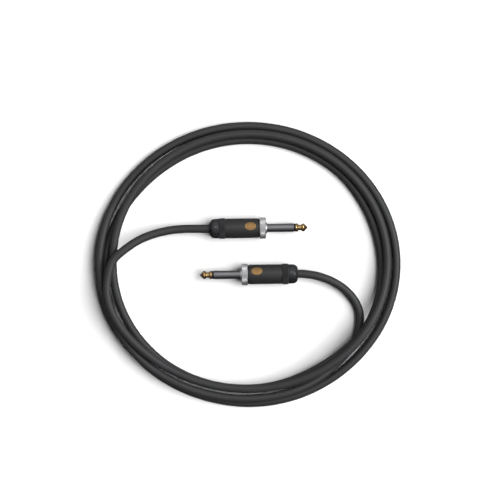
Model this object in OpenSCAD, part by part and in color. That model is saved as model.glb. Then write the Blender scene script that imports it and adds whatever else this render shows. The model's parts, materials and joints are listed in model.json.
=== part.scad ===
// Instrument cable: one screened cable in a loose round coil, with a straight mono plug on each end.
// Millimetres, +Z up. The origin is on the ground, midway between the two plugs.
// Each plug is drawn along its own X axis: 0 is the front ring's face and +X points to the tip.

/* [Cable] */
// Outside diameter of the cable
cable_d = 6.3; // [5.2:0.05:7.6]
// Wall of the outer jacket
jacket_wall = 0.82; // [0.6:0.02:1]
// Thickness of the braided screen
screen_wall = 0.47; // [0.3:0.01:0.6]
// Thickness of the conductive layer under the screen
conductive_wall = 0.37; // [0.2:0.01:0.45]
// Diameter of the centre conductor
conductor_d = 1; // [0.6:0.05:1.2]

/* [Coil] */
// Width of the outermost turn, left to right
coil_w = 233.3; // [230:0.1:290]
// Depth of the outermost turn, front to back
coil_depth = 218.7; // [215:0.1:270]

/* [Shaft and tip] */
// Diameter of the plug's shaft
shaft_d = 6.35; // [5.2:0.05:7.7]
// Length from the front ring's face to the end of the tip
shaft_length = 31.75; // [26:0.05:38.5]
// Length of the gold tip in front of the insulating ring
tip_length = 8.9; // [8.6:0.1:12]
// Length of the insulating ring
insulator_length = 1.5; // [1:0.1:3]
// Length of the tip's collar
collar_length = 1.55; // [1:0.05:1.8]
// Diameter of the tip's waist
waist_d = 4.4; // [3.6:0.1:4.8]
// Distance from the end of the tip back to its waist
waist_from_end = 5.9; // [5.2:0.1:6.4]
// Distance from the end of the tip back to its widest place
ball_from_end = 3.6; // [3:0.1:4.2]
// Diameter of the flat at the end of the tip
nose_d = 1.6; // [1:0.1:2.4]
// Diameter of the rod that carries the tip
rod_d = 2.4; // [2:0.1:2.8]
// Wall of the shaft's tube
shaft_wall = 0.9; // [0.5:0.05:1]
// How far the insulating ring lies below the shaft's surface
insulator_step = 0.2; // [0.16:0.02:0.4]

/* [Front ring] */
// Diameter over the knurl of the front ring
front_ring_d = 16.3; // [15.4:0.1:19.6]
// Length of the front ring's knurled part
front_ring_length = 4.6; // [3.8:0.1:5.6]
// Thickness of the front ring ahead of the shaft's flange
front_wall = 3; // [2:0.1:3.6]
// Length of the boss round the shaft, ahead of the front ring's face
boss_length = 0.9; // [0.4:0.1:1.4]
// Height of the shaft's shoulder that fills the boss
shoulder_step = 0.25; // [0.2:0.05:0.4]
// Diameter of the shaft's flange
flange_d = 9.5; // [9:0.1:10.2]
// Length of the shaft's flange
flange_length = 2; // [1.6:0.1:2.4]
// Length of the thread that holds the front ring in the barrel
front_thread_length = 5.4; // [4.5:0.1:6.5]

/* [Lugs] */
// Thickness of the ground lug
ground_lug_t = 0.8; // [0.5:0.05:1]
// Width of the ground lug's tongue
tongue_w = 3.4; // [2.6:0.1:4]
// Length of the bush between the lugs
lug_insulator_length = 2.8; // [2:0.1:3.4]
// Thickness of the tip lug
tip_lug_t = 0.6; // [0.4:0.05:0.8]
// Diameter of the tip lug's washer
tip_lug_d = 5.6; // [5:0.1:6.6]
// Width of the tip lug's tab
tab_w = 2.4; // [1.8:0.1:3]
// Diameter of the rod's flared end
rivet_d = 3.6; // [3.2:0.1:4]
// Length of the rod's flared end
rivet_length = 1; // [0.8:0.1:1.2]

/* [Barrel] */
// Length of the barrel
barrel_length = 26.4; // [22:0.1:32]
// Wall of the barrel
barrel_wall = 1.3; // [1:0.05:1.8]
// Wall of the insulating liner
liner_wall = 0.75; // [0.4:0.05:0.8]

/* [Cable grip] */
// Wall of the chuck's body
chuck_wall = 1.2; // [0.9:0.05:1.5]
// Wall of the chuck at its narrow end
chuck_tip_wall = 0.5; // [0.4:0.05:0.7]
// Length of the chuck's flange
chuck_flange_length = 2.5; // [2:0.1:3.2]
// Length of the chuck's taper
chuck_taper_length = 2; // [1.6:0.1:2.6]
// Width of the chuck's slots
slot_w = 1.2; // [0.8:0.1:1.6]
// Room round the chuck's body inside the nut
chuck_room = 0.6; // [0.55:0.05:1]

/* [Rear nut and end cap] */
// Wall of the nut's threaded spigot
nut_wall = 1.15; // [0.9:0.05:1.5]
// Length of the nut's thread
nut_thread_length = 5; // [4.2:0.1:6]
// Height that the nut's knurl stands above the barrel
nut_step = 0.4; // [0.2:0.05:1]
// Length of the nut's knurled part
nut_length = 4.7; // [4:0.1:6]
// Depth that the end cap lies below the barrel's surface
cap_step = 0.15; // [0:0.05:0.6]
// Length of the end cap behind the nut
cap_length = 7.2; // [6:0.1:8.6]
// Radius of the end cap's rounded back edge
cap_round = 3.9; // [2.5:0.1:4]
// Room between the cable and the end cap's hole
cap_room = 0.25; // [0.1:0.05:0.6]

/* [Hidden] */
PLUG_PIECES = [
    "tip_contact", "tip_insulator", "plug_sleeve", "front_ring", "ground_lug", "lug_insulator",
    "tip_lug", "tip_solder", "ground_solder", "barrel_liner", "barrel", "chuck", "rear_nut", "end_cap",
    "cable_jacket", "cable_screen", "conductive_layer", "core_insulation", "centre_conductor"
];
$fn = 96;

// Clearances: round fits, gaps at the ends of moving pieces, and gaps between the cable's layers
fit = 0.05;
end_gap = 0.2;
layer_gap = 0.03;

// Colours
satin_black = "#38393b";
anodised_black = "#404143";
gloss_black = "#2c2d2f";
bright_nickel = "#c4c4c2";
dull_nickel = "#86868a";
gold = "#c79a55";
tin = "#a9acae";
copper = "#b4704a";
carbon_black = "#202124";
cream = "#e4dfd2";

// Radii of the cable's layers, from the outside in
cable_r = cable_d / 2;
jacket_bore_r = cable_r - jacket_wall;
screen_r = jacket_bore_r - layer_gap;
screen_bore_r = screen_r - screen_wall;
conductive_r = screen_bore_r - layer_gap;
conductive_bore_r = conductive_r - conductive_wall;
insulation_r = conductive_bore_r - layer_gap;
conductor_r = conductor_d / 2;

// Radii of the grip and the barrel, from the cable out
chuck_bore_r = cable_r + fit;
chuck_r = chuck_bore_r + chuck_wall;
chuck_tip_r = chuck_bore_r + chuck_tip_wall;
nut_bore_r = chuck_r + chuck_room;
spigot_r = nut_bore_r + nut_wall;
barrel_bore_r = spigot_r + fit;
barrel_r = barrel_bore_r + barrel_wall;
nut_r = barrel_r + nut_step;
cap_r = barrel_r - cap_step;
cap_bore_r = cable_r + cap_room;
cap_cone_gap = 0.1;
front_ring_r = front_ring_d / 2;
edge = 0.4;

// Radii of the shaft's pieces, from the outside in
shaft_r = shaft_d / 2;
sleeve_bore_r = shaft_r - shaft_wall;
bush_r = sleeve_bore_r - fit;
rod_r = rod_d / 2;
bush_bore_r = rod_r + fit;
shoulder_r = shaft_r + shoulder_step;
insulator_r = shaft_r - insulator_step;
collar_r = shaft_r - 0.075;
ball_r = shaft_r - 0.055;
flange_r = flange_d / 2;
ground_lug_r = flange_r - fit;

// Places along the plug, from the tip back
insulator_front = shaft_length - tip_length;
insulator_back = insulator_front - insulator_length;
flange_front = -front_wall;
flange_back = flange_front - flange_length;
ground_lug_back = flange_back - ground_lug_t;
tip_lug_front = ground_lug_back - lug_insulator_length;
tip_lug_back = tip_lug_front - tip_lug_t;
rivet_back = tip_lug_back - rivet_length;
front_spigot_back = -front_ring_length - front_thread_length;
liner_front = front_spigot_back - end_gap;
barrel_back = -front_ring_length - barrel_length;
nut_spigot_front = barrel_back + nut_thread_length;
chuck_flange_back = nut_spigot_front + end_gap;
chuck_front = chuck_flange_back + chuck_flange_length;
liner_back = chuck_front + 0.3;
nut_front = barrel_back - 0.1;
nut_back = nut_front - nut_length;
cap_back = nut_back - cap_length;
cap_spigot_length = 3.6;
cap_spigot_front = nut_back + cap_spigot_length;
chuck_taper_front = cap_spigot_front + end_gap;
chuck_back = chuck_taper_front - chuck_taper_length;
cap_cone_back = chuck_back - 0.3;

// Places along the stripped cable, from the jacket's end forward
jacket_front = chuck_front + 2.3;
screen_front = jacket_front + 1.5;
conductive_front = screen_front + 0.9;
insulation_front = conductive_front + 1.1;
solder_x = (insulation_front + rivet_back) / 2;
conductor_front = solder_x + 0.9;
stub_back = cap_back - 3;

// The tongue lies nearly as low as the round lug lets it. The screen's pigtail lies on it, and is as
// thick as the room between the tongue and the cable's core lets it be.
tongue_inset = 0.2;
tongue_bottom = -sqrt(pow(ground_lug_r - tongue_inset, 2) - pow(tongue_w / 2, 2));
tongue_top = tongue_bottom + ground_lug_t;
lug_insulator_r = -tongue_top - end_gap;
pigtail_r = min(0.6, (-tongue_top - screen_bore_r) / 2 - layer_gap);
pigtail_back = [screen_front - 0.7, -screen_bore_r - pigtail_r];
pigtail_front = [insulation_front + 2.5, tongue_top + pigtail_r];
ground_solder_r = 1.4;
ground_solder_x = insulation_front + 1.6;
tab_z = rivet_d / 2 + 0.15;
tip_solder_r = tab_z / 2 + 0.325;

// Where the plugs lie: each is half a turn about the origin from the other
plug_x = 9.22;
plug_y = 17.86;
plug_yaw = 0.8;
axis_z = max(front_ring_r, nut_r);
plug_dir = [cos(plug_yaw), sin(plug_yaw), 0];

// The coil winds from the first angle to the last. Its outline is an ellipse, and each station gives
// the angle, the depth inside that ellipse and the height, the last two in cable diameters.
coil_centre = [-4.02, -9.82];
coil_start = 185;
coil_first_step = 190;
coil_end = 1390;
STATIONS = [
    [175, 2.7, 2.5], [180, 1.95, 2.5], [185, 1.32, 2.5], [190, 0.82, 2.52], [195, 0.66, 2.55],
    [202, 0.76, 2.57], [210, 1.03, 2.5], [217, 1.28, 2.36], [225, 1.55, 2.05], [240, 1.9, 1.65],
    [255, 2.1, 1.65], [270, 2.2, 1.75], [285, 2.17, 2.1], [300, 2.08, 2.55], [315, 1.95, 2.8],
    [330, 1.84, 2.75], [345, 1.72, 2.1], [360, 1.6, 1.4], [375, 1.52, 1.2], [390, 1.45, 1.2],
    [405, 1.45, 1.35], [420, 1.45, 1.37], [450, 1.5, 1.45], [480, 1.55, 1.5], [495, 1.62, 1.6],
    [510, 1.75, 1.65], [525, 1.88, 1.55], [540, 2, 1.35], [555, 1.95, 0.9], [570, 1.95, 0.6],
    [600, 1.95, 0.5], [615, 2.05, 0.5], [630, 2.15, 0.5], [640, 2.2, 0.53], [655, 2.43, 1.2],
    [670, 2.47, 1.64], [685, 1.95, 1.75], [698, 2, 1.3], [705, 2.05, 0.9], [712, 2.12, 0.6],
    [720, 2.25, 0.5], [735, 2.35, 0.5], [750, 2.35, 0.5], [765, 2.15, 0.5], [780, 2.2, 0.5],
    [840, 2.2, 0.5], [855, 2.1, 0.5], [870, 1.78, 0.5], [885, 1.35, 0.5], [900, 1, 0.5],
    [915, 0.8, 0.5], [930, 0.55, 0.5], [945, 0.35, 0.5], [975, 0.45, 0.5], [990, 0.37, 0.5],
    [1005, 0.38, 0.5], [1020, 0.44, 0.5], [1035, 0.52, 0.5], [1050, 0.48, 0.5], [1080, 0.43, 0.5],
    [1110, 0.47, 0.5], [1170, 0.5, 0.5], [1200, 0.45, 0.5], [1215, 0.4, 0.5], [1230, 0.34, 0.55],
    [1245, 0.33, 1], [1260, 0.32, 1.35], [1275, 0.36, 1.5], [1290, 0.42, 1.58], [1305, 0.5, 1.62],
    [1320, 0.7, 1.62], [1335, 0.9, 1.6], [1350, 1, 1.57], [1360, 1.03, 1.55], [1375, 1.12, 1.36],
    [1390, 1.62, 0.58], [1398, 1.98, 0.5]
];

// The free ends' own points: X and Y in millimetres, height in cable diameters. Tail b first passes
// two more stations close to the coil.
TAIL_A_POINTS = [
    [-59.7, 16.8, 1.3], [-71.7, 14.7, 1.45], [-83, 11, 1.7], [-92.8, 5.8, 2.1], [-101, -0.9, 2.4]
];
TAIL_B_STATIONS = [[326, 2.42, 0.5], [332, 3.07, 0.5]];
TAIL_B_POINTS = [
    [81.8, -45.4, 0.5], [77.8, -37.5, 0.57], [72.3, -30.8, 0.7], [65.3, -25.4, 0.9],
    [57.1, -21.4, 1.1], [48.6, -18.6, 1.25]
];

// Steps of the drawn coil, and of the finer one that its length is measured on, in degrees
ring_step = 15;
fine_step = 5;
coil_sides = 6;
tail_sides = 8;

function unit(v) = v / norm(v);
function sum(list) = list * [for (value = list) 1];

// A station value at any angle, averaged over a short stretch so that the cable has no corners
function at_station(angle, column) = lookup(angle, [for (station = STATIONS) [station[0], station[column]]]);
function eased(angle, column) =
    sum([for (offset = [-7.5:3.75:7.5]) at_station(angle + offset, column)]) / 5 * cable_d;

// A place at an angle of the coil, at a depth inside its outline and a height
function in_coil(angle, depth, height) =
    let (inward = unit([cos(angle) / coil_w, sin(angle) / coil_depth]))
    [
        coil_centre.x + coil_w / 2 * cos(angle) - inward.x * depth,
        coil_centre.y + coil_depth / 2 * sin(angle) - inward.y * depth,
        height
    ];

// The cable's centre at an angle of the coil
function coil_point(angle) = in_coil(angle, eased(angle, 1), eased(angle, 2));

// The coil's ends run straight for one diameter, and so do the tails where they meet them. The end
// near tail b runs level.
coil_start_dir = unit(coil_point(coil_start + 2) - coil_point(coil_start));
coil_end_step = coil_point(coil_end) - coil_point(coil_end - 2);
coil_end_dir = unit([coil_end_step.x, coil_end_step.y, 0]);
coil_first = coil_point(coil_start) - cable_d * coil_start_dir;
coil_last = coil_point(coil_end) + cable_d * coil_end_dir;

function coil_path(step) = concat(
    [coil_first, coil_point(coil_start)],
    [for (angle = [coil_first_step:step:coil_end]) coil_point(angle)],
    [coil_last]
);

// Points on the axis of plug a, and the same points turned half round for plug b
function on_plug_a(x) = [plug_x, plug_y, axis_z] + x * plug_dir;
function on_plug_b(x) = [-plug_x, -plug_y, axis_z] - x * plug_dir;
function raised(points) = [for (point = points) [point.x, point.y, point.z * cable_d]];

tail_a_path = concat(
    [on_plug_a(stub_back), on_plug_a(stub_back - cable_r)],
    raised(TAIL_A_POINTS),
    [coil_first - cable_d * coil_start_dir, coil_first]
);
tail_b_path = concat(
    [coil_last, coil_last + cable_d * coil_end_dir],
    [for (place = TAIL_B_STATIONS) in_coil(place[0], place[1] * cable_d, place[2] * cable_d)],
    raised(TAIL_B_POINTS),
    [on_plug_b(stub_back - cable_r), on_plug_b(stub_back)]
);

function direction(path, i) = unit(path[min(i + 1, len(path) - 1)] - path[max(i - 1, 0)]);

// One ring of the tube's corners, with one corner straight down
function ring(path, i, sides) =
    let (along = direction(path, i), across = unit(cross(along, [0, 0, 1])), up = cross(across, along))
    [
        for (k = [0:sides - 1])
            let (turn = 360 * k / sides)
            path[i] + cable_r * (up * cos(turn) + across * sin(turn))
    ];

// Places along a path, four for each of its steps, and the least gap between stretches of it that
// lie more than six steps apart
function samples(path) = [
    for (i = [0:len(path) - 2], share = [0:0.25:0.75]) path[i] + share * (path[i + 1] - path[i])
];
function least_gap(places, apart) = min([
    for (i = [0:len(places) - 1 - apart], j = [i + apart:len(places) - 1]) norm(places[i] - places[j])
]) - cable_d;
function path_length(path) = sum([for (i = [1:len(path) - 1]) norm(path[i] - path[i - 1])]);

echo(least_gap_of_coil = least_gap(samples(coil_path(ring_step)), 24));
echo(least_gap_of_cable = least_gap(samples(concat(tail_a_path, coil_path(ring_step), tail_b_path)), 28));
echo(cable_length_outside_plugs =
    path_length(tail_a_path) + path_length(coil_path(fine_step)) + path_length(tail_b_path));
echo(cable_length_overall = path_length(tail_a_path) + path_length(coil_path(fine_step))
    + path_length(tail_b_path) + 2 * (conductor_front - stub_back));

// Tube along a path: one closed mesh of triangles
module cord_tube(path, sides) {
    last = (len(path) - 1) * sides;
    corners = [for (i = [0:len(path) - 1]) each ring(path, i, sides)];
    walls = [
        for (i = [0:len(path) - 2], k = [0:sides - 1])
            let (a = i * sides + k, b = i * sides + (k + 1) % sides)
            each [[a, a + sides, b], [b, a + sides, b + sides]]
    ];
    ends = [for (k = [1:sides - 2]) each [[0, k, k + 1], [last, last + k + 1, last + k]]];
    polyhedron(corners, concat(walls, ends));
}

// Solid turned about the plug's axis from an outline of [radius, place along X]
module turned(outline) {
    rotate([0, 90, 0])
        rotate_extrude()
            polygon(outline);
}

// Plain tube between two places along X
module tube(back, front, outer_r, bore_r) {
    turned([[bore_r, back], [outer_r, back], [outer_r, front], [bore_r, front]]);
}

// Box between two places along X, centred on Y
module strip(back, front, width, bottom, top) {
    translate([back, -width / 2, bottom])
        cube([front - back, width, top - bottom]);
}

// Rod from the stripped screen down to the ground lug's tongue
module pigtail_rod() {
    run = pigtail_front - pigtail_back;
    translate([pigtail_back.x, 0, pigtail_back.y])
        rotate([0, 90 - atan2(run.y, run.x), 0])
            cylinder(r = pigtail_r, h = norm(run));
}

module tip_contact() {
    nose_r = nose_d / 2;
    ball_x = shaft_length - ball_from_end;
    waist_x = shaft_length - waist_from_end;
    color(gold)
        turned([
            [0, rivet_back], [rivet_d / 2, rivet_back], [rivet_d / 2, tip_lug_back],
            [rod_r, tip_lug_back], [rod_r, insulator_front],
            [collar_r, insulator_front], [collar_r, insulator_front + collar_length],
            [waist_d / 2, waist_x], [ball_r, ball_x - 0.3], [ball_r, ball_x + 0.3],
            [nose_r + 0.25, shaft_length - 0.25], [nose_r, shaft_length], [0, shaft_length]
        ]);
}

module tip_insulator() {
    color(carbon_black)
        turned([
            [bush_bore_r, ground_lug_back], [bush_r, ground_lug_back], [bush_r, insulator_back],
            [insulator_r, insulator_back], [insulator_r, insulator_front], [bush_bore_r, insulator_front]
        ]);
}

module plug_sleeve() {
    color(dull_nickel)
        turned([
            [sleeve_bore_r, flange_back], [flange_r, flange_back], [flange_r, flange_front],
            [shoulder_r, flange_front], [shoulder_r, boss_length], [shaft_r, boss_length],
            [shaft_r, insulator_back], [sleeve_bore_r, insulator_back]
        ]);
}

module front_ring() {
    back = -front_ring_length;
    boss_front_r = shoulder_r + fit + 0.2;
    boss_back_r = boss_front_r + 0.45;
    color(bright_nickel)
        turned([
            [flange_r + fit, front_spigot_back], [spigot_r, front_spigot_back], [spigot_r, back],
            [front_ring_r - edge, back], [front_ring_r, back + edge], [front_ring_r, -edge],
            [front_ring_r - edge, 0], [boss_back_r, 0], [boss_front_r, boss_length],
            [shoulder_r + fit, boss_length], [shoulder_r + fit, flange_front],
            [flange_r + fit, flange_front]
        ]);
}

module ground_lug() {
    color(dull_nickel)
        difference() {
            union() {
                tube(ground_lug_back, flange_back, ground_lug_r, bush_r + fit);
                strip(jacket_front, flange_back, tongue_w, tongue_bottom, tongue_top);
            }
            tube(ground_lug_back - 1, flange_back + 1, bush_r + fit, 0);
        }
}

module lug_insulator() {
    color(carbon_black)
        tube(tip_lug_front, ground_lug_back, lug_insulator_r, bush_bore_r);
}

module tip_lug() {
    color(dull_nickel) {
        tube(tip_lug_back, tip_lug_front, tip_lug_d / 2, bush_bore_r);
        strip(solder_x - 0.6, tip_lug_front, tab_w, tab_z, tab_z + tip_lug_t);
    }
}

module tip_solder() {
    color(tin)
        difference() {
            translate([solder_x, 0, tab_z / 2])
                sphere(r = tip_solder_r);
            strip(solder_x - 2, solder_x + 2, 4, tab_z, tab_z + 2);
            tube(solder_x - 2, solder_x + 2, conductor_r, 0);
        }
}

module ground_solder() {
    color(tin)
        difference() {
            translate([ground_solder_x, 0, tongue_top + pigtail_r])
                sphere(r = ground_solder_r);
            strip(ground_solder_x - 2, ground_solder_x + 2, 4, tongue_top - 2, tongue_top);
            pigtail_rod();
        }
}

module barrel_liner() {
    color(cream)
        tube(liner_back, liner_front, spigot_r, spigot_r - liner_wall);
}

module barrel() {
    front = -front_ring_length;
    bevel = 0.25;
    color(anodised_black)
        turned([
            [barrel_bore_r, barrel_back], [barrel_r - bevel, barrel_back], [barrel_r, barrel_back + bevel],
            [barrel_r, front - bevel], [barrel_r - bevel, front], [barrel_bore_r, front]
        ]);
}

// Collet with four fingers that close on the cable as the nut presses its taper
module chuck() {
    flange_outer_r = barrel_bore_r - 2 * fit;
    slot_length = chuck_flange_back - 1.2 - chuck_back;
    color(cream)
        difference() {
            turned([
                [chuck_bore_r, chuck_back], [chuck_tip_r, chuck_back], [chuck_r, chuck_taper_front],
                [chuck_r, chuck_flange_back], [flange_outer_r, chuck_flange_back],
                [flange_outer_r, chuck_front], [chuck_bore_r, chuck_front]
            ]);
            for (quarter = [0, 90])
                rotate([quarter, 0, 0])
                    strip(chuck_back - 1, chuck_back + slot_length, slot_w, -2 * chuck_r, 2 * chuck_r);
        }
}

module rear_nut() {
    color(anodised_black)
        turned([
            [nut_bore_r, nut_back], [nut_r - edge, nut_back], [nut_r, nut_back + edge],
            [nut_r, nut_front - edge], [nut_r - edge, nut_front], [spigot_r, nut_front],
            [spigot_r, nut_spigot_front], [nut_bore_r, nut_spigot_front]
        ]);
}

// Cap with a rounded back edge, a hole for the cable and a cone that the chuck seats in
module end_cap() {
    taper = (chuck_r - chuck_tip_r) / chuck_taper_length;
    cone_front_r = chuck_r + cap_cone_gap;
    cone_back_r = cone_front_r - taper * (cap_spigot_front - cap_cone_back);
    rounding = [
        for (turn = [0:11.25:90])
            [cap_r - cap_round * (1 - cos(turn)), cap_back + cap_round * (1 - sin(turn))]
    ];
    color(gloss_black)
        turned(concat(
            [[cap_bore_r, cap_cone_back], [cone_back_r, cap_cone_back], [cone_front_r, cap_spigot_front]],
            [[nut_bore_r - fit, cap_spigot_front], [nut_bore_r - fit, nut_back], [cap_r, nut_back]],
            rounding,
            [[cap_bore_r, cap_back]]
        ));
}

module cable_jacket() {
    color(satin_black)
        tube(stub_back, jacket_front, cable_r, jacket_bore_r);
}

module cable_screen() {
    color(copper) {
        tube(stub_back, screen_front, screen_r, screen_bore_r);
        pigtail_rod();
    }
}

module conductive_layer() {
    color(carbon_black)
        tube(stub_back, conductive_front, conductive_r, conductive_bore_r);
}

module core_insulation() {
    color(cream)
        tube(stub_back, insulation_front, insulation_r, conductor_r + layer_gap);
}

module centre_conductor() {
    color(copper)
        tube(stub_back, conductor_front, conductor_r, 0);
}

module cable_coil() {
    color(satin_black)
        cord_tube(coil_path(ring_step), coil_sides);
}

module cable_tail_a() {
    color(satin_black)
        cord_tube(tail_a_path, tail_sides);
}

module cable_tail_b() {
    color(satin_black)
        cord_tube(tail_b_path, tail_sides);
}

// Puts a piece of a plug where plug a or plug b lies
module at_plug(side) {
    rotate([0, 0, side == "a" ? 0 : 180])
        translate([plug_x, plug_y, axis_z])
            rotate([0, 0, plug_yaw])
                children();
}

for (side = ["a", "b"]) {
    at_plug(side) tip_contact();
    at_plug(side) tip_insulator();
    at_plug(side) plug_sleeve();
    at_plug(side) front_ring();
    at_plug(side) ground_lug();
    at_plug(side) lug_insulator();
    at_plug(side) tip_lug();
    at_plug(side) tip_solder();
    at_plug(side) ground_solder();
    at_plug(side) barrel_liner();
    at_plug(side) barrel();
    at_plug(side) chuck();
    at_plug(side) rear_nut();
    at_plug(side) end_cap();
    at_plug(side) cable_jacket();
    at_plug(side) cable_screen();
    at_plug(side) conductive_layer();
    at_plug(side) core_insulation();
    at_plug(side) centre_conductor();
}
cable_coil();
cable_tail_a();
cable_tail_b();
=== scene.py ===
"""Instrument cable: one screened cable in a loose coil, with a straight mono plug on each end.

Everything is in metres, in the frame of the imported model. Each plug's pieces are drawn in the
plug's own frame: X runs along its axis, 0 is the face of its front ring and +X points to its tip.
"""

import json
import math

import bmesh
import bpy
from bpy.props import FloatProperty, FloatVectorProperty, IntProperty, PointerProperty
from mathutils import Matrix, Vector


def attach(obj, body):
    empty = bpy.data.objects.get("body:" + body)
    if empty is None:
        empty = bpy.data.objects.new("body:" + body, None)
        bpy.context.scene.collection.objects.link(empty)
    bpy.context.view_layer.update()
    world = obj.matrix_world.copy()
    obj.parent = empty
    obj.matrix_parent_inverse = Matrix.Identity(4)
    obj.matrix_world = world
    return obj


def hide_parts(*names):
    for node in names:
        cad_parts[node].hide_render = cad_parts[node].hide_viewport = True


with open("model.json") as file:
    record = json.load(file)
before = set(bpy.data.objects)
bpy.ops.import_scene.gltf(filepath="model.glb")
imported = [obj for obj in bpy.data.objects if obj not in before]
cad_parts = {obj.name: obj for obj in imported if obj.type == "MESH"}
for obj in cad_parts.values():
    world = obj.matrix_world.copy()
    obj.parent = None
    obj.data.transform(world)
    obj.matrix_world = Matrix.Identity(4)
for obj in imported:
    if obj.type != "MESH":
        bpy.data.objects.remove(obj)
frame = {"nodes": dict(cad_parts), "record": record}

bl_info = {
    "name": "Instrument Cable",
    "version": (1, 0, 0),
    "blender": (4, 5, 0),
    "location": "3D View > Sidebar > Instrument Cable",
    "description": "Builds a coiled instrument cable with two mono plugs around its packed model",
    "category": "Add Mesh",
}

MM = 0.001
SIDES = ("a", "b")
UP = Vector((0, 0, 1))

# The boss stands this far ahead of the front ring's face, and the shaft's bare wall starts there.
BOSS_LENGTH = 0.9 * MM
# Gap on the radius between two pieces that fit into each other
FIT_GAP = 0.05 * MM

# The cable's route. The coil winds from its first angle to its last, inside an ellipse, and each
# station gives the angle, the depth inside the ellipse and the height, the last two in diameters.
COIL_CENTRE = Vector((-0.00402, -0.00982))
COIL_SIZE = (0.2333, 0.2187)
COIL_START, COIL_END, COIL_STEP = 185, 1390, 5
STATIONS = [
    (175, 2.7, 2.5), (180, 1.95, 2.5), (185, 1.32, 2.5), (190, 0.82, 2.52), (195, 0.66, 2.55),
    (202, 0.76, 2.57), (210, 1.03, 2.5), (217, 1.28, 2.36), (225, 1.55, 2.05), (240, 1.9, 1.65),
    (255, 2.1, 1.65), (270, 2.2, 1.75), (285, 2.17, 2.1), (300, 2.08, 2.55), (315, 1.95, 2.8),
    (330, 1.84, 2.75), (345, 1.72, 2.1), (360, 1.6, 1.4), (375, 1.52, 1.2), (390, 1.45, 1.2),
    (405, 1.45, 1.35), (420, 1.45, 1.37), (450, 1.5, 1.45), (480, 1.55, 1.5), (495, 1.62, 1.6),
    (510, 1.75, 1.65), (525, 1.88, 1.55), (540, 2, 1.35), (555, 1.95, 0.9), (570, 1.95, 0.6),
    (600, 1.95, 0.5), (615, 2.05, 0.5), (630, 2.15, 0.5), (640, 2.2, 0.53), (655, 2.43, 1.2),
    (670, 2.47, 1.64), (685, 1.95, 1.75), (698, 2, 1.3), (705, 2.05, 0.9), (712, 2.12, 0.6),
    (720, 2.25, 0.5), (735, 2.35, 0.5), (750, 2.35, 0.5), (765, 2.15, 0.5), (780, 2.2, 0.5),
    (840, 2.2, 0.5), (855, 2.1, 0.5), (870, 1.78, 0.5), (885, 1.35, 0.5), (900, 1, 0.5),
    (915, 0.8, 0.5), (930, 0.55, 0.5), (945, 0.35, 0.5), (975, 0.45, 0.5), (990, 0.37, 0.5),
    (1005, 0.38, 0.5), (1020, 0.44, 0.5), (1035, 0.52, 0.5), (1050, 0.48, 0.5), (1080, 0.43, 0.5),
    (1110, 0.47, 0.5), (1170, 0.5, 0.5), (1200, 0.45, 0.5), (1215, 0.4, 0.5), (1230, 0.34, 0.55),
    (1245, 0.33, 1), (1260, 0.32, 1.35), (1275, 0.36, 1.5), (1290, 0.42, 1.58), (1305, 0.5, 1.62),
    (1320, 0.7, 1.62), (1335, 0.9, 1.6), (1350, 1, 1.57), (1360, 1.03, 1.55), (1375, 1.12, 1.36),
    (1390, 1.62, 0.58), (1398, 1.98, 0.5),
]
# Tail a runs from plug a to the coil's start, and tail b from the coil's end to plug b. Each point
# gives X, Y and the height in diameters.
TAIL_A_POINTS = [
    (-0.0597, 0.0168, 1.3), (-0.0717, 0.0147, 1.45), (-0.083, 0.011, 1.7),
    (-0.0928, 0.0058, 2.1), (-0.101, -0.0009, 2.4),
]
TAIL_B_STATIONS = [(326, 2.42, 0.5), (332, 3.07, 0.5)]
TAIL_B_POINTS = [
    (0.0818, -0.0454, 0.5), (0.0778, -0.0375, 0.57), (0.0723, -0.0308, 0.7),
    (0.0653, -0.0254, 0.9), (0.0571, -0.0214, 1.1), (0.0486, -0.0186, 1.25),
]
# Places along each plug's axis, from the jacket's end in it to where the cable leaves the axis
AXIS_PLACES = [place * MM for place in (-21, -30, -40, -46, -49.15)]
# How many times the cable's line is eased between the plugs
EASING_PASSES = 8

# Faces that meet at a sharper angle than this show an edge.
SHARP_ANGLE = math.radians(28)
# A ring of a smaller radius is drawn as a point on the axis.
POINT_RADIUS = 1e-7


def plug_frame(side):
    """Matrix of a plug's own frame."""
    shaft = next(m for m in frame["record"]["mounts"] if m["name"] == f"plug_{side}_shaft")
    axis = Vector(shaft["axis"])
    half = shaft["dims"]["length_mm"] * MM / 2
    face = Vector(shaft["pos_m"]) - axis * (half + BOSS_LENGTH)
    turn = Matrix((axis, UP.cross(axis), UP)).transposed().to_4x4()
    return Matrix.Translation(face) @ turn


PLUG_FRAMES = {side: plug_frame(side) for side in SIDES}


def span(node):
    """Back end, front end and largest radius of a node on plug a, in the plug's own frame."""
    to_plug = PLUG_FRAMES["a"].inverted()
    points = [to_plug @ vertex.co for vertex in frame["nodes"][f"{node}_a"].data.vertices]
    places = [point.x for point in points]
    return min(places), max(places), max(math.hypot(point.y, point.z) for point in points)


TIP_BACK, TIP_FRONT, BALL_R = span("tip_contact")
BUSH_BACK, INSULATOR_FRONT, INSULATOR_R = span("tip_insulator")
SHAFT_BACK, SHAFT_FRONT, FLANGE_R = span("plug_sleeve")
RING_BACK, RING_FRONT, RING_R = span("front_ring")
BARREL_BACK, BARREL_FRONT, BARREL_R = span("barrel")
NUT_BACK, NUT_FRONT, NUT_R = span("rear_nut")
CAP_BACK, CAP_FRONT, CAP_R = span("end_cap")
FLANGE_FRONT = SHAFT_BACK + 2 * MM


def linear(sheet):
    """Linear colour of an sRGB hex value, such as "c79a55"."""
    parts = [int(sheet[i:i + 2], 16) / 255 for i in (0, 2, 4)]
    return [p / 12.92 if p <= 0.04045 else ((p + 0.055) / 1.055) ** 2.4 for p in parts] + [1]


def length(name, description, default):
    """A length that can be set in the panel, in metres."""
    return FloatProperty(
        name=name, description=description, default=default, min=0, precision=5, unit="LENGTH"
    )


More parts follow.
